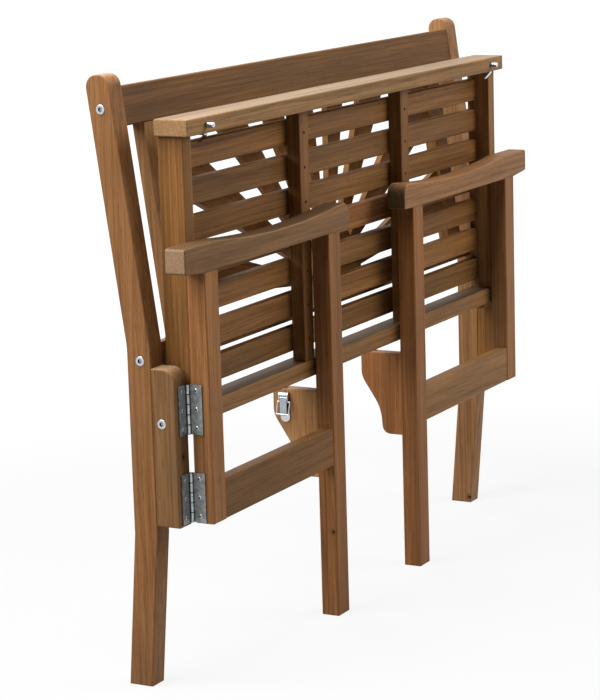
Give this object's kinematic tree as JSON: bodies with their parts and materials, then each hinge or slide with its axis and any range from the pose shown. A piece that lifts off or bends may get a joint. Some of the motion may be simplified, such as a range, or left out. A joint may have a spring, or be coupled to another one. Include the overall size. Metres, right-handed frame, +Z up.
{
  "type": "folding garden bench",
  "caption": "Slatted wooden garden bench with a sunburst back, folded flat: the seat stands up and both arm frames swing in on hinges.",
  "frame": {"origin": "on the ground, in the middle of the folded bench's box", "axes": "+X along the bench to its right end as seen from the front, -Y to the front, +Z up"},
  "size_m": [1.18, 0.1609, 0.875],
  "materials": {
    "frame_wood": "oiled, satin",
    "slat_wood": "oiled, satin",
    "zinc_bolts": "bright zinc",
    "hinge_steel": "dull galvanised",
    "latch_chrome": "bright"
  },
  "bodies": {
    "back": {"back_bottom_rail": "frame_wood", "back_ray_1": "slat_wood", "back_ray_2": "slat_wood", "back_ray_3": "slat_wood", "back_ray_4": "slat_wood", "back_ray_5": "slat_wood", "back_ray_6": "slat_wood", "back_ray_7": "slat_wood", "back_ray_8": "slat_wood", "back_ray_9": "slat_wood", "back_top_rail": "frame_wood", "block_hinge_leaves": "hinge_steel", "fan_hub": "slat_wood", "frame_bolts": "zinc_bolts", "hinge_pins": "hinge_steel", "left_back_stile": "slat_wood", "left_hinge_block": "frame_wood", "left_rear_leg": "frame_wood", "pivot_spacers": "zinc_bolts", "right_back_stile": "slat_wood", "right_hinge_block": "frame_wood", "right_rear_leg": "frame_wood", "seat_pivot_bolts": "zinc_bolts"},
    "seat": {"latch_catches": "latch_chrome", "left_seat_bearer": "frame_wood", "left_seat_side_rail": "frame_wood", "locating_pins": "zinc_bolts", "right_seat_bearer": "frame_wood", "right_seat_side_rail": "frame_wood", "seat_front_rail": "frame_wood", "seat_rear_rail": "frame_wood", "seat_slat_1": "slat_wood", "seat_slat_2": "slat_wood", "seat_slat_3": "slat_wood", "seat_slat_4": "slat_wood", "seat_slat_5": "slat_wood", "seat_slat_6": "slat_wood", "seat_slat_7": "slat_wood"},
    "left_frame": {"left_armrest": "frame_wood", "left_corbel": "frame_wood", "left_frame_hinge_leaves": "hinge_steel", "left_front_leg": "frame_wood", "left_latch_base": "latch_chrome", "left_rear_post": "frame_wood", "left_stretcher": "frame_wood"},
    "left_lever": {"left_latch_lever": "latch_chrome"},
    "left_bail": {"left_latch_bail": "latch_chrome"},
    "right_frame": {"right_armrest": "frame_wood", "right_corbel": "frame_wood", "right_frame_hinge_leaves": "hinge_steel", "right_front_leg": "frame_wood", "right_latch_base": "latch_chrome", "right_rear_post": "frame_wood", "right_stretcher": "frame_wood"},
    "right_lever": {"right_latch_lever": "latch_chrome"},
    "right_bail": {"right_latch_bail": "latch_chrome"}
  },
  "joints": [
    {"name": "left_frame_hinge", "type": "hinge", "parent": "back", "child": "left_frame", "pos_m": [-0.5405, -0.04759, 0.34], "axis": [0, 0, -1], "range_deg": [0, 90]},
    {"name": "right_frame_hinge", "type": "hinge", "parent": "back", "child": "right_frame", "pos_m": [0.5405, -0.04759, 0.34], "axis": [0, 0, 1], "range_deg": [0, 90]},
    {"name": "seat_pivot", "type": "hinge", "parent": "back", "child": "seat", "pos_m": [0, -0.02159, 0.389], "axis": [1, 0, 0], "range_deg": [-1.8, 0]},
    {"name": "left_lever_hinge", "type": "hinge", "parent": "left_frame", "child": "left_lever", "pos_m": [-0.1675, 0.00541, 0.3415], "axis": [0, 1, 0], "range_deg": [0, 95]},
    {"name": "left_bail_hinge", "type": "hinge", "parent": "left_lever", "child": "left_bail", "pos_m": [-0.1675, 0.00541, 0.3355], "axis": [0, 1, 0], "range_deg": [0, 100]},
    {"name": "right_lever_hinge", "type": "hinge", "parent": "right_frame", "child": "right_lever", "pos_m": [0.1675, 0.00541, 0.3415], "axis": [0, -1, 0], "range_deg": [0, 95]},
    {"name": "right_bail_hinge", "type": "hinge", "parent": "right_lever", "child": "right_bail", "pos_m": [0.1675, 0.00541, 0.3355], "axis": [0, -1, 0], "range_deg": [0, 100]}
  ]
}
